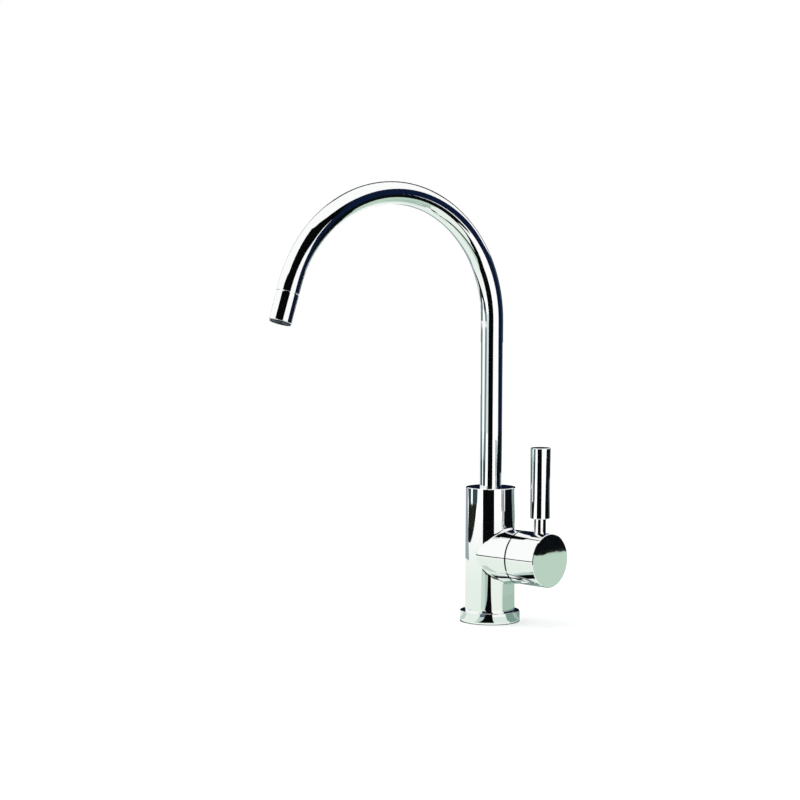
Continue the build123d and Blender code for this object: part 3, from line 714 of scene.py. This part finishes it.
# Each cloth with its near and far edge, as lists of (azimuth, distance).
cloths = [
    ("cloth_before_camera", BLACK, cloth_front, [(-36, 1.1), (16, 1.1)]),
    ("cloth_by_camera", BLACK, [(-36, 1.1), (16, 1.1)], [(-33.5, 2.06), (15, 2.06)]),
    ("cloth_before_window", BLACK, window_front, [(14.5, 0.55), (62, 0.56)]),
    ("dark_cloth_right", "#080C0E", right_front, [(57, 1.05), (113, 1.05)]),
    ("dark_cloth_far_right", "#0A1016", [(57, 1.05), (113, 1.05)], [(65, 1.6), (113, 1.6)]),
    ("slate_cloth_right", "#0D151D", [(65, 1.6), (122, 1.6)], [(76, 2.06), (124, 2.06)]),
    ("grey_cloth_right", "#7F948C", [(142, 0.57), (152, 0.8)], [(113, 1.05), (140, 1.05)]),
    ("grey_cloth_far_right", "#8A9AA0", [(113, 1.05), (140, 1.05)], [(113, 1.3), (142, 1.3)]),
    ("slate_cloth", "#1B262F", [(113, 1.3), (144, 1.3)], [(113, 1.6), (150, 1.6)]),
    ("slate_cloth_far_right", "#1F2A33", [(113, 1.6), (150, 1.6)], [(120, 2.06), (154, 2.06)]),
    ("brown_cloth_point", "#191A15", [(-123, 0.57), (-104, 0.57)], [(-123, 0.7), (-81, 0.7)]),
    ("brown_cloth", "#232420", [(-123, 0.7), (-81, 0.7)], [(-121, 0.95), (-66, 0.95)]),
    ("slate_strip_left", "#33474E", [(-91, 0.95), (-64.5, 0.95)], [(-90, 1.5), (-58.5, 1.5)]),
    ("slate_strip_far_left", "#5F7880", [(-90, 1.5), (-58.5, 1.5)], [(-80, ROOM), (-55, ROOM)]),
    ("slate_strip_beyond_left", "#7A8F92", [(-80, ROOM), (-55, ROOM)], [(-76, 6), (-53, 6)]),
    ("blue_strip_left", "#384C52", [(-121, 0.95), (-101, 0.95)], [(-134, 1.5), (-103, 1.5)]),
    ("blue_strip_far_left", "#5E7478", [(-134, 1.5), (-103, 1.5)], [(-136, ROOM), (-108, ROOM)]),
    ("blue_strip_beyond_left", "#6E8482", [(-136, ROOM), (-108, ROOM)], [(-160, 6), (-114, 6)]),
    ("off_white_patch", "#EDF5EC", [(7, 0.095), (45, 0.095)], [(2, 0.3), (46, 0.3)]),
    ("grey_patch_right", "#A3B9B1", [(84, 0.03), (102, 0.03)], [(84, 0.075), (102, 0.075)]),
    ("grey_patch_left", "#C1D4CB", [(-112, 0.03), (-80, 0.03)], [(-104, 0.085), (-84, 0.085)]),
]
patches = [
    ("slate_by_shadow_point", "#56666F", [(-31, 0.062), (-8, 0.062)], [(-31, 0.09), (-8, 0.09)]),
    ("grey_by_shadow_point", "#C0D2CC", [(-36, 0.03), (-8, 0.03)], [(-34, 0.062), (-8, 0.062)]),
    ("white_patch", "#FCFEF8", [(7, 0.065), (47, 0.065)], [(7, 0.095), (47, 0.095)]),
    ("pale_patch", "#DEECE4", [(7, 0.03), (49, 0.03)], [(7, 0.065), (49, 0.065)]),
]
mats_and_painted_shade = [
    ("green_mat_by_tap", "#7C9A8F", [(48, 0.03), (150, 0.03)], [(54, 0.09), (150, 0.09)]),
    ("green_mat_near", "#A6BFB1", [(54, 0.09), (150, 0.09)], [(56, 0.18), (150, 0.18)]),
    ("green_mat", "#ACC4B8", [(56, 0.18), (150, 0.18)], [(58, 0.26), (150, 0.26)]),
    ("green_mat_far", "#BCD3C2", [(58, 0.26), (150, 0.26)], [(58, 0.64), (150, 0.64)]),
    # These two sheets beside the tongue are painted soft shade, the grey edge that fades out from
    # the painted shadow.
    ("grey_green_painted_shade", "#B2C7BC", [(-22, 0.1), (-8, 0.1)], [(-24, 0.36), (-8, 0.36)]),
    ("pale_grey_painted_shade", "#CCDCD3", [(-38, 0.1), (-22, 0.1)], [(-40, 0.36), (-24, 0.36)]),
]
cloths_and_shade_by_height = {
    # the tongue of painted shadow lies on top of all
    0.0024: in_bands("painted_shadow_tongue", BLACK, painted_shadow_levels),
    0.0022: patches,
    0.0020: cloths,
    0.0018: [
        ("grey_cloth_left", "#98A7AC", [(-172, 0.42), (-112, 0.42)], [(-176, ROOM), (-134, ROOM)]),
    ],
    0.0016: mats_and_painted_shade,
    0.0005: [
        (
            "contact_shade",
            "#6B7C76",
            [(-180, RING_EDGE), (180, RING_EDGE)],
            [(-180, MAT_INNER), (180, MAT_INNER)],
        ),
    ],
}


def lay(height, name, swatch, near_edge, far_edge):
    """A cloth or painted shade this high above the floor, between edges of (azimuth, distance)."""
    edges = [
        [(azimuth, distance, height) for azimuth, distance in edge]
        for edge in (near_edge, far_edge)
    ]
    return card(name, swatch, *edges)


for height, layer in cloths_and_shade_by_height.items():
    for cloth in layer:
        lay(height, *cloth)
    print("laid", len(layer), "at", height, "m")

# %% [markdown]
# ## A pale green mat under them all
#
# Everywhere else close to the tap, the chrome mirrors a very pale green that fades out to the
# white floor. A flat colour would end in a hard line, so this one mat takes its tint from its
# distance to the tap.

# %% Pale green mat
MAT_HEIGHT = 0.001
MAT_OUTER = 0.8
TINT_HOLDS_TO, TINT_GONE_AT = 0.2, 0.75

mat_edges = [[(-180, distance), (180, distance)] for distance in (MAT_INNER, MAT_OUTER)]
mat = lay(MAT_HEIGHT, "pale_green_mat", "#FFFFFF", *mat_edges)
mat_tree = mat.active_material.node_tree
distance = add(
    mat_tree,
    "VectorMath",
    {"operation": "LENGTH"},
    {0: mat_tree.nodes["Texture Coordinate"].outputs["Object"]},
)
fade = add(
    mat_tree,
    "MapRange",
    {"interpolation_type": "SMOOTHSTEP", "From Min": TINT_HOLDS_TO, "From Max": TINT_GONE_AT},
    {"Value": distance.outputs["Value"]},
)
tint = add(
    mat_tree,
    "Mix",
    {"data_type": "RGBA", FIRST: linear("#E8F3EA"), SECOND: linear("#FFFFFF")},
    {FACTOR: fade.outputs["Result"]},
)
mat_tree.links.new(tint.outputs[MIXED], mat_tree.nodes["Emission"].inputs["Color"])
print("laid the pale green mat")

# %% [markdown]
# ## Soft lamp
#
# One large, weak lamp overhead stands for a light tent. It adds only enough to the world's
# light to bring a plain surface to the level it is painted at, and it gives the tap its soft
# shadow on the floor.

# %% Lamp
LAMP_SIZE, LAMP_WATTS = 1.6, 9.0
LAMP_PLACE = (-60, 0.9, 1.7)  # azimuth, distance and height

lamp_data = bpy.data.lights.new("soft_overhead", "AREA")
lamp_data.shape = "SQUARE"
lamp_data.size = LAMP_SIZE
lamp_data.energy = LAMP_WATTS
lamp = bpy.data.objects.new("soft_overhead", lamp_data)
bpy.context.scene.collection.objects.link(lamp)
lamp.location = round_the_tap(*LAMP_PLACE)
lamp.rotation_euler = (-lamp.location).to_track_quat("-Z", "Y").to_euler()
lamp.visible_glossy = False

bpy.context.scene.view_settings.view_transform = "Standard"
print("lamp is", round(lamp.location.length, 2), "m away")
